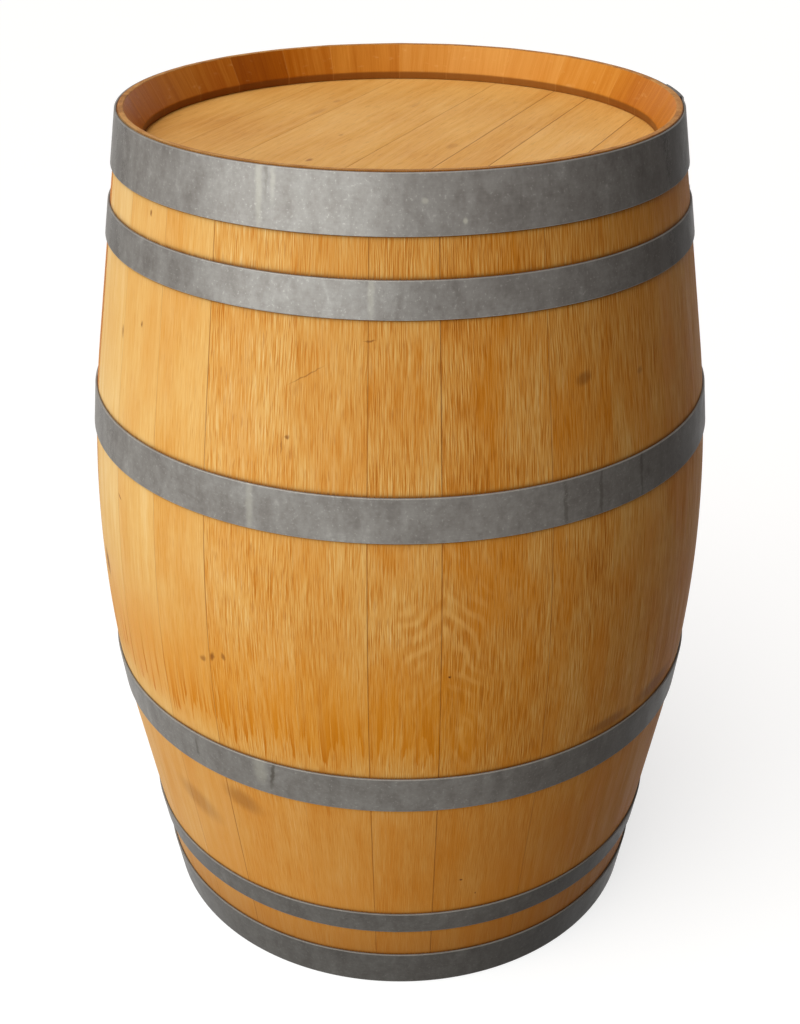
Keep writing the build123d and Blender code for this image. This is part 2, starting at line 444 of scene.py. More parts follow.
def stave_oak():
    """Outer face of the staves: waxed oak with crinkled grain, ray figure, drips, darker lines along the
    hoops and thin joints.
    """
    finish = Finish("stave_oak")
    grain = finish.grain()
    layers = oak_layers(finish, grain)
    path = layers["path"]
    height = finish.height()
    worn = finish.rise(height, 0.2, 0.38, 0.45, 1.0)
    coarse = finish.times(finish.mark("coarse"), worn)
    lines = finish.work("MULTIPLY_ADD", finish.work("SUBTRACT", layers["lines"], 0.5), coarse, 0.5)
    tone = total(
        finish,
        (layers["clouds"], 0.45),
        (layers["streaks"], 0.3),
        (lines, 1.35),
        (layers["fibres"], 0.25),
        (finish.mark("tone"), 0.8),
    )
    colour = finish.ramp(
        tone,
        (0.08, 138, 72, 10),
        (0.35, 180, 112, 36),
        (0.55, 198, 143, 70),
        (0.78, 208, 165, 100),
        (0.97, 217, 186, 132),
    )
    amber = finish.noise(finish.stretch(path, 24.0, 7.0), detail=3.0)
    amber = finish.times(finish.rise(amber, 0.42, 0.64), finish.mark("amber"))
    colour = finish.blend(finish.times(amber, 0.65), colour, paint(186, 110, 14))
    pores = finish.times(finish.rise(layers["pores"], 0.56, 0.7), coarse)
    colour = finish.blend(finish.times(pores, 0.4), colour, paint(150, 84, 24))

    # Ray figure: pale and dark bands that fan down from a joint, broken into flecks
    bend = finish.noise(finish.stretch(grain, 26.0, 16.0), detail=1.0)
    along = finish.add("ShaderNodeSeparateXYZ", {0: grain}).outputs["Y"]
    spread = finish.mark("fan")
    slope = finish.work("MULTIPLY_ADD", spread, 270.0, finish.times(bend, 17.0))
    waves = finish.work("SINE", finish.work("MULTIPLY_ADD", along, 290.0, slope))
    patches = finish.rise(finish.noise(finish.stretch(grain, 30.0, 20.0), detail=2.0), 0.4, 0.62)
    shown = finish.times(finish.rise(spread, 0.065, 0.015, 0.12, 1.0), finish.mark("figure"))
    rays = finish.times(patches, shown)
    pale = finish.times(finish.rise(waves, -0.1, 1.0, 0.0, 0.3), rays)
    colour = finish.blend(pale, colour, paint(220, 170, 98))
    dark = finish.times(finish.rise(waves, 0.0, -1.0, 0.0, 0.3), rays)
    colour = finish.blend(dark, colour, paint(176, 104, 24))

    # Stain that ran down the grain and stopped in drips above the lower bilge hoop
    hoop_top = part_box("bottom_bilge_hoop")[1].z
    reach = finish.noise(finish.stretch(path, 150.0, 3.0), detail=2.0)
    tip = finish.work("MULTIPLY_ADD", reach, 0.13, hoop_top - 0.036)
    above = finish.work("SUBTRACT", height, tip)
    fingers = finish.rise(finish.noise(finish.stretch(path, 260.0, 6.0), detail=2.0), 0.47, 0.56)
    fingers = finish.times(fingers, finish.mark("wick"))
    drips = finish.times(finish.rise(above, 0.0, 0.005), finish.rise(above, 0.07, 0.006, 0.2, 1.0))
    drips = finish.times(drips, finish.rise(height, 0.56, 0.4))
    drips = finish.times(drips, finish.times(fingers, 0.9))
    colour = finish.blend(drips, colour, paint(170, 94, 2))
    zone = finish.times(finish.rise(height, 0.52, 0.42), finish.rise(height, hoop_top, hoop_top + 0.045))
    zone = finish.times(zone, finish.rise(layers["streaks"], 0.35, 0.62, 0.25, 0.6))
    colour = finish.blend(finish.times(zone, finish.mark("wick")), colour, paint(196, 124, 26))
    # The wood below the lower bilge hoop mixed darker and warmer
    below = finish.rise(height, hoop_top, hoop_top - 0.05, 0.0, 0.4)
    colour = finish.blend(below, colour, paint(190, 120, 44))
    # Painted shade: the wood darker towards the bottom
    colour = finish.blend(finish.rise(height, 0.15, 0.03, 0.0, 0.5), colour, paint(132, 78, 30))

    # Marks, darker lines along the hoops and thin dark joints
    place = finish.wander(finish.around(), 210.0, (0.003, 0.003, 0.0))
    colour = finish.blend(finish.spots(place, on_wall(wood_marks)), colour, paint(104, 54, 20))
    breakup = finish.rise(layers["lines"], 0.3, 0.6, 0.6, 1.0)
    hoop_line = finish.times(finish.mark("hoop_line"), breakup, clamp=True)
    colour = finish.blend(finish.times(hoop_line, 0.85), colour, paint(84, 44, 12))
    seam = finish.times(finish.rise(finish.mark("joint"), 0.001, 0.0002), finish.mark("seam"))
    seam = finish.times(seam, finish.rise(layers["clouds"], 0.35, 0.65, 0.4, 0.8))
    colour = finish.blend(seam, colour, paint(104, 56, 18))

    relief = total(finish, (layers["lines"], 0.8), (layers["fibres"], 0.6), (layers["pores"], -0.6))
    roughness = finish.rise(layers["streaks"], 0.3, 0.7, 0.6, 0.48)
    return finish.done(colour, roughness, relief, 0.0002, specular=0.06)


def chime_oak():
    """Bevelled chime: glazed orange-brown oak, each stave in its own tone, browner under the lip as bare wood
    and darker there as painted shade.
    """
    finish = Finish("chime_oak")
    grain = finish.grain()
    layers = oak_layers(finish, grain)
    tone = total(
        finish,
        (layers["clouds"], 0.3),
        (layers["streaks"], 0.35),
        (layers["lines"], 0.25),
        (finish.mark("chime_tone"), 1.0),
    )
    colour = finish.ramp(
        tone,
        (0.0, 128, 58, 2),
        (0.35, 172, 94, 14),
        (0.6, 200, 128, 44),
        (1.0, 224, 164, 86),
    )
    scuffs = finish.rise(finish.noise(finish.stretch(grain, 60.0, 120.0), detail=4.0), 0.6, 0.76, 0.0, 0.25)
    colour = finish.blend(scuffs, colour, paint(226, 176, 108))
    # Under the lip: browner as bare wood, and darker as painted shade
    colour = finish.blend(finish.times(finish.mark("lip"), 0.75), colour, paint(122, 76, 34))
    seam = finish.rise(finish.mark("joint"), 0.0014, 0.0004, 0.0, 0.12)
    colour = finish.blend(seam, colour, paint(232, 176, 96))
    roughness = finish.rise(layers["clouds"], 0.3, 0.7, 0.3, 0.48)
    return finish.done(colour, roughness, layers["fibres"], 0.0001, specular=0.06)


def rim_oak():
    """End grain of the staves at the rims, with its pores as dots."""
    finish = Finish("rim_oak")
    place = finish.place()
    dots = finish.noise(place, scale=900.0, detail=2.0)
    clouds = finish.noise(place, scale=60.0, detail=3.0)
    tone = total(finish, (dots, 0.8), (clouds, 0.8), (finish.mark("tone"), 0.4))
    colour = finish.ramp(tone, (0.15, 116, 68, 30), (0.5, 178, 122, 62), (0.85, 210, 160, 96))
    return finish.done(colour, 0.6, dots, 0.0002, specular=0.1)


def inner_oak():
    """Inside of the cask: toasted dark, blistered in small checks."""
    finish = Finish("toasted_oak")
    layers = oak_layers(finish, finish.grain())
    checks = finish.noise(finish.stretch(layers["path"], 130.0, 60.0), detail=3.0)
    tone = total(finish, (layers["clouds"], 0.9), (layers["streaks"], 0.6), (checks, 0.7))
    colour = finish.ramp(tone, (0.2, 26, 16, 10), (0.55, 58, 34, 18), (0.85, 92, 56, 30))
    return finish.done(colour, 0.85, checks, 0.0006, specular=0.2)


# Small brown marks on the top head: x, y, reach across and along, slant, strength
head_marks = (
    (-0.1041, -0.0925, 0.004, 0.008, -32.5, 0.75),
    (-0.0478, 0.157, 0.005, 0.012, -32.5, 0.3),
    (-0.0746, 0.107, 0.007, 0.03, -32.5, 0.25),
    (-0.0616, 0.0012, 0.003, 0.006, -32.5, 0.35),
    (0.0361, 0.1241, 0.005, 0.02, -32.5, 0.22),
    (0.0437, -0.0606, 0.006, 0.016, -32.5, 0.25),
)


def head_oak():
    """Head boards: pale sanded oak with long soft streaks, thin dark joints and small brown marks."""
    finish = Finish("head_oak")
    grain = finish.grain()
    layers = oak_layers(finish, grain)
    tone = total(
        finish,
        (layers["clouds"], 0.6),
        (layers["streaks"], 0.4),
        (layers["lines"], 0.4),
        (layers["fibres"], 0.25),
        (finish.mark("tone"), 0.45),
    )
    colour = finish.ramp(
        tone,
        (0.08, 186, 120, 48),
        (0.4, 216, 157, 78),
        (0.6, 228, 174, 96),
        (0.92, 240, 198, 128),
    )
    pores = finish.rise(layers["pores"], 0.58, 0.72)
    colour = finish.blend(finish.times(pores, 0.22), colour, paint(146, 92, 40))
    joint = finish.times(finish.rise(finish.mark("joint"), 0.001, 0.0002), finish.mark("seam"))
    colour = finish.blend(joint, colour, paint(118, 68, 26))
    flat = finish.wander(finish.stretch(finish.place(), 1.0, 1.0, 0.0), 210.0, (0.003, 0.003, 0.0))
    upper = finish.rise(finish.height(), half_height, half_height + 0.01)
    spots = finish.times(finish.spots(flat, head_marks), upper)
    colour = finish.blend(spots, colour, paint(150, 82, 20))
    relief = total(finish, (layers["lines"], 0.6), (layers["fibres"], 0.8), (layers["pores"], -0.6))
    roughness = finish.rise(layers["streaks"], 0.3, 0.7, 0.56, 0.44)
    return finish.done(colour, roughness, relief, 0.0002, specular=0.08)


# Marks on the hoops: degrees right of the camera's side, height, reach across and along, slant, strength
pale_runs = (
    (-25.0, 0.936, 0.006, 0.06, 2.0, 0.2),
    (-22.3, 0.94, 0.004, 0.03, 0.0, 0.15),
    (-4.8, 0.85, 0.005, 0.04, 0.0, 0.18),
    (-24.9, 0.64, 0.006, 0.05, 0.0, 0.2),
    (-25.5, 0.325, 0.012, 0.03, 0.0, 0.3),
    (4.2, 0.9255, 0.005, 0.004, 0.0, 0.3),
    (11.0, 0.9073, 0.0035, 0.004, -20.0, 0.45),
)
dark_runs = (
    (-23.6, 0.942, 0.003, 0.03, 2.0, 0.3),
    (-23.0, 0.322, 0.0035, 0.03, -10.0, 0.7),
    (-40.0, 0.315, 0.003, 0.02, 0.0, 0.5),
    (27.7, 0.632, 0.003, 0.05, 0.0, 0.4),
    (34.9, 0.637, 0.003, 0.05, 0.0, 0.4),
    (44.6, 0.64, 0.003, 0.05, 0.0, 0.4),
)


def hoop_steel():
    """Galvanised strip: wispy clouds of zinc, pale and dark runs, specks, a painted highlight along the edges
    and painted shade from a mark on its points.
    """
    finish = Finish("hoop_steel")
    grain = finish.grain()
    place = finish.place()
    clouds = finish.noise(place, scale=30.0, detail=6.0, roughness=0.64, distortion=0.5)
    fine = finish.noise(place, scale=210.0, detail=4.0, roughness=0.65)
    wisps = finish.noise(finish.wander(finish.stretch(grain, 70.0, 30.0), 1.4, (1.2, 1.2, 0.0)), detail=4.0)
    runs = finish.noise(finish.wander(finish.stretch(grain, 75.0, 5.0), 2.0, (0.6, 0.0, 0.0)), detail=3.0)
    rolled = finish.noise(finish.stretch(grain, 9.0, 700.0), detail=2.0)
    tone = total(finish, (clouds, 0.5), (fine, 0.35), (wisps, 0.45), (runs, 0.15), (rolled, 0.08))
    colour = finish.ramp(
        tone,
        (0.1, 86, 81, 77),
        (0.42, 114, 109, 105),
        (0.6, 128, 124, 120),
        (0.9, 164, 160, 155),
    )
    around = finish.wander(finish.around(), 120.0, (0.006, 0.0, 0.0))
    colour = finish.blend(finish.spots(around, on_wall(pale_runs)), colour, paint(182, 178, 164))
    colour = finish.blend(finish.spots(around, on_wall(dark_runs)), colour, paint(74, 68, 60))
    specks = finish.rise(finish.noise(place, scale=420.0, detail=1.0), 0.65, 0.75, 0.0, 0.22)
    colour = finish.blend(specks, colour, paint(176, 172, 166))
    # Painted shade: the zinc's colour multiplied darker on the lower hoops and to the right of the camera's
    # side
    colour = finish.blend(1.0, colour, finish.mark_colour("painted_shade"), "MULTIPLY")
    # Painted highlight: the zinc paler along both edges of the strip
    edge = finish.rise(finish.mark("edge"), 0.0012, 0.0002, 0.0, 0.35)
    colour = finish.blend(edge, colour, paint(170, 166, 160))
    finish.join(finish.mark("shine"), finish.shader.inputs["Metallic"])
    finish.shader.inputs["Specular Tint"].default_value = (0.1, 0.1, 0.1, 1.0)
    roughness = finish.rise(clouds, 0.3, 0.7, 0.3, 0.42)
    relief = total(finish, (fine, 0.6), (rolled, 0.2), (clouds, 0.8))
    return finish.done(colour, roughness, relief, 0.0002, specular=0.05)


def rivet_steel():
    """Rivets: the same zinc in finer clouds."""
    finish = Finish("rivet_steel")
    place = finish.place()
    clouds = finish.noise(place, scale=240.0, detail=4.0, roughness=0.6)
    colour = finish.ramp(clouds, (0.3, 104, 99, 95), (0.7, 168, 163, 158))
    finish.shader.inputs["Metallic"].default_value = 0.4
    return finish.done(colour, finish.rise(clouds, 0.3, 0.7, 0.38, 0.55), clouds, 0.0002)


def bung_wood():
    """The bung: turned wood with soft streaks and fibres along the piece's own map."""
    finish = Finish("bung_wood")
    layers = oak_layers(finish, finish.grain())
    tone = total(finish, (layers["clouds"], 0.6), (layers["streaks"], 0.8), (layers["fibres"], 0.6))
    colour = finish.ramp(tone, (0.2, 168, 112, 60), (0.8, 220, 178, 120))
    return finish.done(colour, 0.6, layers["fibres"], 0.0002)


def dowel_wood():
    """Dowels: plain pale wood."""
    finish = Finish("dowel_wood")
    fibres = finish.noise(finish.place(), scale=420.0, detail=3.0)
    colour = finish.ramp(fibres, (0.3, 176, 130, 78), (0.7, 216, 176, 122))
    return finish.done(colour, 0.65, fibres, 0.0001)


finish_stave = stave_oak()
finish_chime = chime_oak()
finish_rim = rim_oak()
finish_inner = inner_oak()
finish_head = head_oak()
finish_hoop = hoop_steel()
finish_rivet = rivet_steel()
finish_bung = bung_wood()
finish_dowel = dowel_wood()

# Staves

draw = np.random.default_rng(7)
stave_names = ["bung_stave", *(f"stave_{number:02d}" for number in range(2, 26))]
stave_tones = draw.uniform(0.3, 0.7, len(stave_names))
stave_figures = draw.uniform(0.0, 0.4, len(stave_names))
stave_coarseness = draw.uniform(0.4, 1.0, len(stave_names))
stave_ambers = draw.uniform(0.2, 0.8, len(stave_names))
stave_insets = draw.uniform(0.0, 0.0003, len(stave_names))
stave_seams = draw.uniform(0.2, 0.9, len(stave_names))
chime_tones = draw.uniform(0.35, 0.75, len(stave_names))

# The staves in the photograph, by number: tone, figure, coarseness of the grain, amber, joint on the right.
# Their tone and amber are partly each stave's own colour and partly painted light: paler to the left as a
# painted sheen, darker and more amber to the right as painted shade.
front_staves = {
    8: (0.88, 0.0, 0.2, 0.1, 0.35),
    9: (0.8, 0.0, 0.25, 0.2, 0.4),
    10: (0.7, 0.05, 0.4, 0.32, 0.75),
    11: (0.6, 0.12, 1.0, 0.35, 0.12),
    12: (0.56, 0.1, 0.75, 0.45, 0.75),
    13: (0.52, 0.9, 0.95, 0.6, 1.0),
    14: (0.46, 1.0, 1.0, 0.85, 0.6),
    15: (0.47, 0.2, 0.95, 0.8, 0.15),
    16: (0.52, 0.1, 0.85, 0.6, 0.12),
    17: (0.5, 0.05, 0.7, 0.6, 0.1),
    18: (0.5, 0.0, 0.6, 0.6, 0.2),
}
for number, looks in front_staves.items():
    stave_tones[number - 1], stave_figures[number - 1], stave_coarseness[number - 1] = looks[:3]
    stave_ambers[number - 1], stave_seams[number - 1] = looks[3:]

# The chimes on the far side, in order round the rim from stave 20 to the bung stave and on to stave 6
chime_tones[[19, 20, 21, 22, 23, 24, 0, 1, 2, 3, 4, 5]] = (
    0.5, 0.46, 0.64, 0.72, 0.76, 0.66, 0.52, 0.38, 0.25, 0.44, 0.54, 0.5,
)

croze_top = head_depth - croze_clearance
croze_bottom = head_depth + tongue_thickness + croze_clearance
croze_radius = float(stave_radius(croze_top, stave_thickness)) + croze_depth
lip_radius = float(stave_radius(chime_depth, stave_thickness))

hoop_names = list(hoop_laps)
hoop_spans = np.array([[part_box(name)[0].z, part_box(name)[1].z] for name in hoop_names])
hoop_line_below = 0.001
hoop_line_above = 0.0015
hoop_line_gain = 2.2
joint_arris = 0.0006
joint_drop = 0.0003
end_run = 0.002
croze_run = 0.004
face_margin = 0.003
face_end = 0.004
inside_end = 0.006
lip_change = 0.001
stave_grain_shift = 0.37

# Finishes of a stave by number, in the order of its materials
on_face, on_chime, on_rim, on_inside = range(4)

# Reach of the stain to both sides of the camera's side, how fast it fades there and its least
wick_right = math.radians(28)
wick_right_fade = math.radians(24)
wick_left = math.radians(95)
wick_left_fade = math.radians(20)
wick_least = 0.2

# Ray figure up the staves: its peak, its reach from mid height and its least
ray_peak = 1.1
ray_reach = 0.16
ray_least = 0.15


def stave_outline():
    """A stave's section as radius and height, from the middle of its inner face down, round the bottom
    chime, up the outer face, round the top chime and back, with the finish of each step."""
    near = np.array([0.0008, 0.002, 0.0035, 0.0055, 0.008, 0.012])
    near = np.concatenate([-near[::-1], near])
    even = np.linspace(face_end, barrel_height - face_end, 90)
    heights = np.concatenate([even, (hoop_spans[:, :, None] + near).ravel()])
    heights = heights[(heights > face_margin) & (heights < barrel_height - face_margin)]
    heights = np.unique(heights.round(5))
    outer = np.stack([stave_radius(heights), heights], axis=1)
    past_croze = croze_bottom + croze_run
    depths = np.array([
        end_run, 0, 0, chime_depth, croze_top, croze_top, croze_bottom, croze_bottom, past_croze,
    ])
    radii = np.array([
        float(stave_radius(end_run)),
        end_radius,
        end_radius - rim_width,
        lip_radius,
        float(stave_radius(croze_top, stave_thickness)),
        croze_radius,
        croze_radius,
        float(stave_radius(croze_bottom, stave_thickness)),
        float(stave_radius(past_croze, stave_thickness)),
    ])
    arrises = np.array([0.0011, 0.0008, 0.0016, 0.0006, 0.0004, 0.0004, 0.0006])
    chime = soften(np.stack([radii, depths], axis=1), arrises)
    top = np.stack([chime[:, 0], barrel_height - chime[:, 1]], axis=1)
    inner_heights = np.linspace(croze_bottom + inside_end, barrel_height - croze_bottom - inside_end, 33)
    inner = np.stack([stave_radius(inner_heights, stave_thickness), inner_heights], axis=1)
    outline = np.concatenate([inner[16::-1], chime[::-1], outer, top, inner[:16:-1]])
    chime_finish = np.repeat([on_face, on_rim, on_chime, on_chime, on_inside, on_inside, on_inside], 4)
    chime_finish[[3, 7]] = (on_rim, on_chime)
    finish = np.concatenate([
        np.full(17, on_inside),
        np.roll(chime_finish[::-1], -1),
        np.full(len(outer), on_face),
        chime_finish,
        np.full(16, on_inside),
    ])
    return outline, finish


outline, outline_finish = stave_outline()
normals = outline_normals(outline)
steps = np.linalg.norm(np.diff(outline, axis=0), axis=1)
outline_run = np.concatenate([[0.0], np.cumsum(steps)])


def node_points(name):
    """All corners of a CAD node, as rows of x, y and z."""
    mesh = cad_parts[name].data
    points = np.empty(3 * len(mesh.vertices), np.float32)
    mesh.vertices.foreach_get("co", points)
    return points.reshape(-1, 3).astype(float)


def stave_span(name):
    """First and last azimuth of a stave, from its corners' azimuths about their middle direction."""
    points = node_points(name)
    middle = math.atan2(points[:, 1].mean(), points[:, 0].mean())
    turns = wrapped(np.arctan2(points[:, 1], points[:, 0]) - middle)
    return middle + turns.min(), middle + turns.max()


def hoop_line_at(height):
    """Darker lines on the wood along each hoop: the most of the fading lines above and below each hoop."""
    low, high = hoop_spans[:, 0], hoop_spans[:, 1]
    below = np.exp(-np.maximum(low - height[..., None], 0) / hoop_line_below)
    above = np.exp(-np.maximum(height[..., None] - high, 0) / hoop_line_above)
    return np.clip(hoop_line_gain * np.minimum(below, above).max(axis=-1), 0, 1)


def wick_at(azimuth):
    """How far round the barrel the wicked-up stain shows: all the left of the front, fading to the right."""
    turn = wrapped(azimuth - camera_azimuth)
    right = np.clip((wick_right - turn) / wick_right_fade, 0, 1)
    left = np.clip((turn + wick_left) / wick_left_fade, 0, 1)
    return np.maximum(right * left, wick_least)


def lip_at(height):
    """1 between the lip of the chime and the croze, 0 elsewhere, changing over a millimetre."""
    depth = np.minimum(height, barrel_height - height)
    return np.clip((depth - chime_depth) / lip_change, 0, 1)


def ray_band(height):
    """How much ray figure shows at a height: most between the bilge hoops, little near the ends."""
    return np.clip(ray_peak - ((height - half_height) / ray_reach) ** 2, ray_least, 1.0)


def stave_solid(name, number):
    """A stave: the section carried across its width about the axis. Towards both joints the section
    shrinks along its own normals, by the joint's drop times the square of one less the distance over the
    arris."""
    first, last = stave_span(name)
    half_width = (last - first) / 2 * bilge_radius
    inside = np.linspace(-1, 1, 11)[1:-1] * (half_width - joint_arris)
    eased = half_width - np.array([0.0, 0.15, 0.4, 0.7, 1.0, 1.6]) * joint_arris
    offset = np.sort(np.concatenate([-eased, inside, eased]))
    azimuth = (first + last) / 2 + offset / bilge_radius
    to_joint = half_width - np.abs(offset)
    drop = joint_drop * np.clip(1 - to_joint / joint_arris, 0, 1) ** 2
    seam = np.where(offset < 0, stave_seams[number - 1], stave_seams[number])
    drop = (drop * (0.2 + 0.8 * seam))[:, None] * np.where(outline_finish == on_face, 1.0, 0.3)
    inset = stave_insets[number] * (1 - (offset / half_width) ** 2)
    section = outline[None] - normals[None] * (drop + inset[:, None])[..., None]
    radius = section[..., 0]
    height = section[..., 1]
    turn = np.broadcast_to(azimuth[:, None], radius.shape)
    rings = np.stack([radius * np.cos(turn), radius * np.sin(turn), height], axis=-1)
    across = (turn - (first + last) / 2) * radius + stave_grain_shift * number
    along = np.broadcast_to(outline_run, radius.shape)
    return {
        "rings": rings,
        "grain": np.stack([across, along], axis=-1),
        "finish": outline_finish,
        "cap_finish": on_inside,
        "marks": {
            "tone": stave_tones[number],
            "figure": stave_figures[number] * ray_band(height),
            "coarse": stave_coarseness[number],
            "amber": stave_ambers[number],
            "fan": (half_width - offset if number == 12 else half_width + offset)[:, None],
            "chime_tone": chime_tones[number],
            "joint": to_joint[:, None],
            "seam": seam[:, None],
            "hoop_line": hoop_line_at(height),
            "wick": wick_at(azimuth)[:, None],
            "lip": lip_at(height),
        },
    }


stave_finishes = (finish_stave, finish_chime, finish_rim, finish_inner)
for number, name in enumerate(stave_names):
    if name == "bung_stave":
        continue
    make_piece(f"{name}_oak", [stave_solid(name, number)], "cask", stave_finishes, name)


def turned(profile, around=48):
    """A profile of radius and height turned about an axis, a ring of points for each of its steps."""
    angle = np.linspace(0, 2 * math.pi, around, endpoint=False)
    return profile[:, 0, None] * np.cos(angle), profile[:, 0, None] * np.sin(angle), profile[:, 1, None]


def bung_radius(stand):
    """Radius of the bung hole that far out from the bilge."""
    return bung_hole_radius + stand * bung_slope


def bore(piece):
    """Cuts the tapered bung hole through its stave with a cone a little longer than the stave is thick."""
    stand = np.array([-0.045, -0.02, 0.0, 0.02])
    side, rise, out = turned(np.stack([bung_radius(stand), stand], axis=1))
    rings = np.stack(np.broadcast_arrays(side, bilge_radius + out, half_height + rise), axis=-1)
    quads, caps = carried(rings)
    cutter_mesh = bpy.data.meshes.new("bung_hole")
    faces = quads.tolist() + [cap.tolist() for cap in caps]
    cutter_mesh.from_pydata(rings.reshape(-1, 3).tolist(), [], faces)
    cutter_mesh.materials.append(finish_rim)
    cutter = placed("bung_hole", cutter_mesh)
    cut = piece.modifiers.new("bung_hole", "BOOLEAN")
    cut.operation = "DIFFERENCE"
    cut.solver = "MANIFOLD"
    cut.material_mode = "TRANSFER"
    cut.object = cutter
    graph = bpy.context.evaluated_depsgraph_get()
    shape = piece.evaluated_get(graph)
    bored = bpy.data.meshes.new_from_object(shape, preserve_all_data_layers=True, depsgraph=graph)
    piece.modifiers.clear()
    plain = piece.data
    piece.data = bored
    bored.name = plain.name + "_bored"
    bpy.data.objects.remove(cutter)
    bpy.data.meshes.remove(cutter_mesh)
    bpy.data.meshes.remove(plain)


bung_stave = make_piece(
    "bung_stave_oak", [stave_solid("bung_stave", 0)], "cask", stave_finishes, "bung_stave"
)
bore(bung_stave)

# Heads

head_radius = croze_radius - croze_clearance
tongue_radius = float(stave_radius(croze_bottom, stave_thickness)) - croze_clearance
flat_radius = tongue_radius - head_bevel_width
board_arris = 0.0006
board_drop = 0.00025
board_reach = head_radius * 0.9996
board_grain_shift = 0.41
board_tones = np.array([0.5, 0.56, 0.44, 0.55, 0.6, 0.5, 0.45])
board_seams = np.array([0.2, 0.6, 0.55, 0.5, 0.25, 0.2, 0.15, 0.15])
board_grain = np.array([math.cos(board_angle), math.sin(board_angle), 0.0])
board_across = np.array([-math.sin(board_angle), math.cos(board_angle), 0.0])


def board_solid(name, number, face_height, inward):
    """A head board: over each line across the head, a flat face out to the head's rim and an inner face
    whose depth is the full thickness, then a slope, then the tongue. Towards its joints it gets thinner."""
    points = node_points(name) @ board_across
    low = max(points.min(), -board_reach)
    high = min(points.max(), board_reach)
    turns = np.linspace(math.asin(low / head_radius), math.asin(high / head_radius), 15)
    eased = np.array([0.0, 0.15, 0.4, 0.7, 1.0]) * board_arris
    across = np.unique(np.concatenate([head_radius * np.sin(turns), low + eased, high - eased]))
    to_joint = np.minimum(across - low, high - across)
    drop = board_drop * np.clip(1 - to_joint / board_arris, 0, 1) ** 2
    seam = np.where(across - low < high - across, board_seams[number], board_seams[number + 1])
    rims = np.array([flat_radius, tongue_radius, head_radius])
    breaks = np.sqrt(np.maximum(rims**2 - across[:, None] ** 2, 0))
    breaks = breaks + np.array([0.0003, 0.0006, 0.0009])
    shares = np.concatenate([np.linspace(0, 1, 9)[:-1], np.linspace(1, 2, 4)[:-1], np.linspace(2, 3, 3)])
    knots = np.concatenate([np.zeros((len(across), 1)), breaks], axis=1)
    whole = np.minimum(shares.astype(int), 2)
    half = knots[:, whole] + (knots[:, whole + 1] - knots[:, whole]) * (shares - whole)
    reach = np.concatenate([-half[:, :0:-1], half], axis=1)
    radius = np.hypot(reach, across[:, None])
    slope = np.clip((tongue_radius - radius) / head_bevel_width, 0, 1)
    depth = tongue_thickness + slope * (head_thickness - tongue_thickness)
    along = np.concatenate([reach, reach[:, ::-1]], axis=1)
    level = np.concatenate([np.zeros_like(reach) + drop[:, None], depth[:, ::-1] - drop[:, None]], axis=1)
    rings = along[..., None] * board_grain + across[:, None, None] * board_across
    rings[..., 2] = face_height + inward * level
    wide = np.broadcast_to(across[:, None] + board_grain_shift * number, along.shape)
    return {
        "rings": rings,
        "grain": np.stack([wide, along + face_height], axis=-1),
        "marks": {"tone": board_tones[number], "joint": to_joint[:, None], "seam": seam[:, None]},
    }


for end, face_height, inward in (("top", barrel_height - head_depth, -1), ("bottom", head_depth, 1)):
    for number in range(7):
        name = f"{end}_head_board_{number + 1}"
        solid = board_solid(name, number, face_height, inward)
        make_piece(f"{name}_oak", [solid], "cask", (finish_head,), name)
    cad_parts[f"{end}_head_dowels"].data.materials.clear()
    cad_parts[f"{end}_head_dowels"].data.materials.append(finish_dowel)

# Hoops and rivets

hoop_edge = 0.0007
rivet_dome_power = 2.6

# Painted shade on the zinc, right of the camera's side: where it sets in and ends, how fast, and by how much
shade_start = math.radians(12)
shade_start_fade = math.radians(36)
shade_end = math.radians(170)
shade_end_fade = math.radians(40)
shade_share = 0.5


def hoop_radius(height, width):
    """Radius inside a hoop at one of its edges, clear of the stave's bulge between the edges."""
    return float(stave_radius(height)) + width**2 / (8 * bend_radius) + hoop_clearance


def painted_shade_round(azimuth):
    """Painted shade round the barrel: the share of its brightness that the zinc keeps, least to the right of
    the camera.
    """
    turn = wrapped(azimuth - camera_azimuth)
    right = np.clip((turn - shade_start) / shade_start_fade, 0, 1)
    back = np.clip((shade_end - turn) / shade_end_fade, 0, 1)
    return 1 - shade_share * right * back


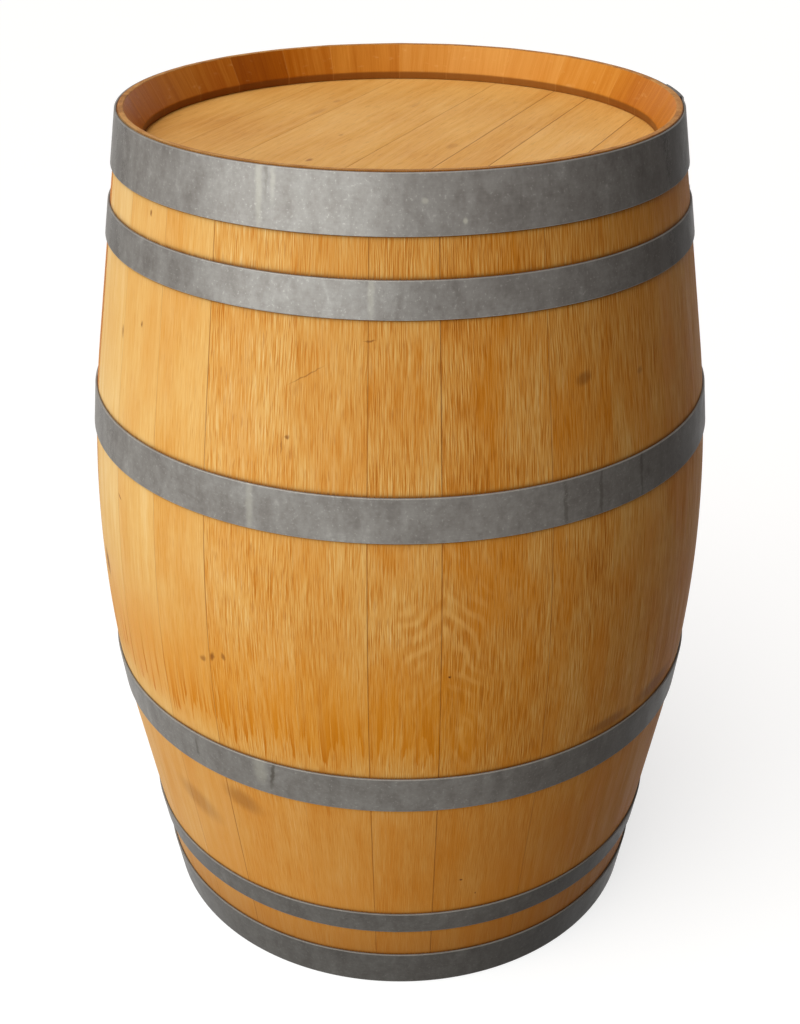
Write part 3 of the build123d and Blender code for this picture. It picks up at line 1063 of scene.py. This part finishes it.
def hoop_solid(low, high, lap_azimuth, painted_shade, shine):
    """A hoop: a strip's section with rounded edges carried once round the barrel's taper and on over its
    own start. Over the joggle the radius steps out by the strip's thickness, times three squares less two
    cubes of the share of the way."""
    width = high - low
    middle = float(stave_radius((low + high) / 2))
    lap = lap_length / middle
    joggle = joggle_length / middle
    corners = np.array([
        (0.5 * width, 0.0),
        (width, 0.0),
        (width, hoop_thickness),
        (0.0, hoop_thickness),
        (0.0, 0.0),
        (0.5 * width, 0.0),
    ])
    section = soften(corners, [0.0003, hoop_edge, hoop_edge, 0.0003], 5)
    across = np.concatenate([np.array([0.0015, 0.0025, 0.004]), np.linspace(0.008, width / 2, 4)])
    across = np.unique(np.concatenate([across, width - across]).round(7))[::-1]
    face = np.stack([across, np.full(len(across), hoop_thickness)], axis=1)
    section = np.concatenate([section[:10], face, section[10:]])
    inner = hoop_radius(low, width)
    taper = (hoop_radius(high, width) - inner) / width
    once_round = np.linspace(0, 2 * math.pi - joggle, 240)
    over = np.linspace(2 * math.pi - joggle, 2 * math.pi, 9)[1:]
    lapped = np.linspace(2 * math.pi, 2 * math.pi + lap, 9)[1:]
    angle = np.concatenate([once_round, over, lapped])
    t = np.clip((angle - 2 * math.pi + joggle) / joggle, 0, 1)
    step = (hoop_thickness + lap_gap) * (3 * t**2 - 2 * t**3)
    radius = inner + taper * section[:, 0] + section[:, 1] + step[:, None]
    turn = (angle + lap_azimuth)[:, None]
    height = np.broadcast_to(low + section[:, 0], radius.shape)
    rings = np.stack([radius * np.cos(turn), radius * np.sin(turn), height], axis=-1)
    along = np.broadcast_to(turn * middle, radius.shape)
    to_edge = np.minimum(section[:, 0], width - section[:, 0])
    return {
        "rings": rings,
        "grain": np.stack([along, height], axis=-1),
        "marks": {"edge": to_edge, "painted_shade": painted_shade * painted_shade_round(turn), "shine": shine},
    }


def rivet_solids(low, high, lap_azimuth):
    """Two rivets through a lap: a turned dome, its height falling with a power of the radius, on a shank."""
    width = high - low
    lap = lap_length / float(stave_radius((low + high) / 2))
    lap_thickness = 2 * hoop_thickness + lap_gap
    low_radius = hoop_radius(low, width)
    high_radius = hoop_radius(high, width)
    place_radius = (low_radius + high_radius) / 2 + lap_thickness
    dome = np.linspace(1, 0.04, 12) * rivet_head_radius
    crown = rivet_head_height * (1 - (dome / rivet_head_radius) ** rivet_dome_power)
    shank = -0.98 * lap_thickness * math.cos(bend_angle)
    under = np.array([
        (0.2 * rivet_radius, shank),
        (rivet_radius, shank),
        (rivet_radius, 0.0),
        (rivet_head_radius, 0.0),
    ])
    crown[0] = 0.15 * rivet_head_height
    profile = np.concatenate([under, np.stack([dome, crown], axis=1)])
    side, rise, out = turned(profile, 32)
    solids = []
    for share in rivet_place_shares:
        azimuth = lap_azimuth + share * lap
        away = np.array([width * math.cos(azimuth), width * math.sin(azimuth), low_radius - high_radius])
        away /= np.linalg.norm(away)
        level = np.array([-math.sin(azimuth), math.cos(azimuth), 0.0])
        up = np.cross(away, level)
        centre = np.array([
            place_radius * math.cos(azimuth), place_radius * math.sin(azimuth), (low + high) / 2
        ])
        rings = centre + side[..., None] * level + rise[..., None] * up + out[..., None] * away
        solids.append({"rings": rings, "grain": np.zeros(2)})
    return solids


# Painted shade of each hoop, top to bottom: the lower hoops darker
hoop_painted_shades = (1.05, 1.0, 1.0, 0.9, 0.6, 0.52)
hoop_shines = (0.35, 0.35, 0.2, 0.1, 0.08, 0.05)
for name, (low, high), painted_shade, shine in zip(hoop_names, hoop_spans, hoop_painted_shades, hoop_shines):
    solid = hoop_solid(low, high, hoop_laps[name], painted_shade, shine)
    make_piece(f"{name}_strip", [solid], "cask", (finish_hoop,), name)
    solids = rivet_solids(low, high, hoop_laps[name])
    make_piece(f"{name}_rivet_heads", solids, "cask", (finish_rivet,), f"{name}_rivets")


# Bung


def bung_solid():
    """The bung: a tapered profile with rounded ends turned about the bung hole's axis."""
    inner = bung_stand - bung_length
    ends = np.array([
        (bung_core, inner),
        (bung_radius(inner) - bung_clearance, inner),
        (bung_radius(bung_stand) - bung_clearance, bung_stand),
        (bung_core, bung_stand),
    ])
    rounded = soften(ends, [0.002, 0.0025], 7)
    lower = np.stack([np.linspace(bung_core, rounded[0, 0], 8)[:-1], np.full(7, inner)], axis=1)
    upper = np.stack([np.linspace(rounded[-1, 0], bung_core, 8)[1:], np.full(7, bung_stand)], axis=1)
    side, rise, out = turned(np.concatenate([lower, rounded, upper]), 64)
    rings = np.stack(np.broadcast_arrays(side, bilge_radius + out, half_height + rise), axis=-1)
    grain = np.stack(np.broadcast_arrays(side, rise + 0.3 * out), axis=-1)
    return {"rings": rings, "grain": grain}


make_piece("bung_turned", [bung_solid()], "bung", (finish_bung,), "bung")

# Stage, light and camera

floor_reach = 30.0
floor_colour = (0.38, 0.38, 0.38, 1)
floor_glow = 0.72
floor_bounce = (0.12, 0.1, 0.08, 1)
fill_colour = (1.0, 0.6, 0.33, 1)
fill_strength = 0.07
softbox_width = 3.4
softbox_height = 1.4
softbox_energy = 68.0
softbox_colour = (0.93, 1.0, 1.0)
softbox_azimuth = photo_azimuth(-38)
softbox_distance = 2.6
softbox_level = 1.0
softbox_tilt = 12
overhead_energy = 2.5
overhead_spread = math.radians(70)
overhead_colour = (1.0, 0.985, 0.96)
overhead_azimuth = photo_azimuth(-55)
overhead_elevation = 62


def seen_or_passed(nodes, seen, passed, output):
    """Gives an output one shader for what the camera, a mirror or glass sees, and another for light that is
    passed on."""
    path = nodes.add("ShaderNodeLightPath", {}).outputs
    share = nodes.work("ADD", path["Is Camera Ray"], path["Is Glossy Ray"])
    share = nodes.work("ADD", share, path["Is Transmission Ray"], clamp=True)
    inputs = {0: share, 1: passed.outputs[0], 2: seen.outputs[0]}
    mix = nodes.add("ShaderNodeMixShader", inputs)
    nodes.join(mix.outputs[0], nodes.tree.nodes[output].inputs["Surface"])


def make_floor():
    """A plain pale floor, a flat square of two by two corners."""
    corner = np.array([(-1, -1, 0), (1, -1, 0), (1, 1, 0), (-1, 1, 0)]) * floor_reach
    mesh = bpy.data.meshes.new("floor")
    mesh.from_pydata(corner.tolist(), [], [(0, 1, 2, 3)])
    material = bpy.data.materials.new("floor_white")
    material.use_nodes = True
    nodes = Nodes(material.node_tree)
    nodes.tree.nodes.remove(nodes.tree.nodes["Principled BSDF"])
    lit = nodes.add("ShaderNodeBsdfDiffuse", {"Color": floor_colour})
    glow = nodes.add("ShaderNodeEmission", {"Strength": floor_glow})
    seen = nodes.add("ShaderNodeAddShader", {0: lit.outputs[0], 1: glow.outputs[0]})
    passed = nodes.add("ShaderNodeBsdfDiffuse", {"Color": floor_bounce})
    seen_or_passed(nodes, seen, passed, "Material Output")
    mesh.materials.append(material)
    floor = placed("floor", mesh)
    floor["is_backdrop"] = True


def make_world():
    """White where it is seen or mirrored, and a dim even fill for the rest."""
    world = bpy.data.worlds.new("studio")
    bpy.context.scene.world = world
    world.use_nodes = True
    nodes = Nodes(world.node_tree)
    fill = nodes.tree.nodes["Background"]
    fill.inputs["Color"].default_value = fill_colour
    fill.inputs["Strength"].default_value = fill_strength
    white = nodes.add("ShaderNodeBackground", {"Color": (1, 1, 1, 1), "Strength": 1.0})
    seen_or_passed(nodes, white, fill, "World Output")


def make_lights():
    """A broad softbox at eye level to the left of the camera, and a very soft light from above it."""
    panel = bpy.data.lights.new("softbox", "AREA")
    panel.shape = "RECTANGLE"
    panel.size = softbox_width
    panel.size_y = softbox_height
    panel.energy = softbox_energy
    panel.color = softbox_colour
    softbox = placed("softbox", panel)
    softbox.location = (
        softbox_distance * math.cos(softbox_azimuth),
        softbox_distance * math.sin(softbox_azimuth),
        softbox_level,
    )
    softbox.rotation_euler = (math.radians(90 - softbox_tilt), 0.0, softbox_azimuth + math.pi / 2)
    lamp = bpy.data.lights.new("overhead", "SUN")
    lamp.energy = overhead_energy
    lamp.angle = overhead_spread
    lamp.color = overhead_colour
    overhead = placed("overhead", lamp)
    overhead.rotation_euler = (math.radians(90 - overhead_elevation), 0.0, overhead_azimuth + math.pi / 2)


def make_camera():
    """The camera on the photograph's side, pitched down on the barrel."""
    lens = bpy.data.cameras.new("camera")
    lens.lens = camera_lens
    lens.sensor_width = film_size
    camera = placed("camera", lens)
    camera.location = (
        camera_distance * math.cos(camera_azimuth),
        camera_distance * math.sin(camera_azimuth),
        camera_height,
    )
    camera.rotation_euler = (math.pi / 2 - camera_pitch, 0.0, camera_azimuth + math.pi / 2)
    bpy.context.scene.camera = camera


make_floor()
make_world()
make_lights()
make_camera()
bpy.context.scene.view_settings.view_transform = "Standard"

low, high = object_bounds()
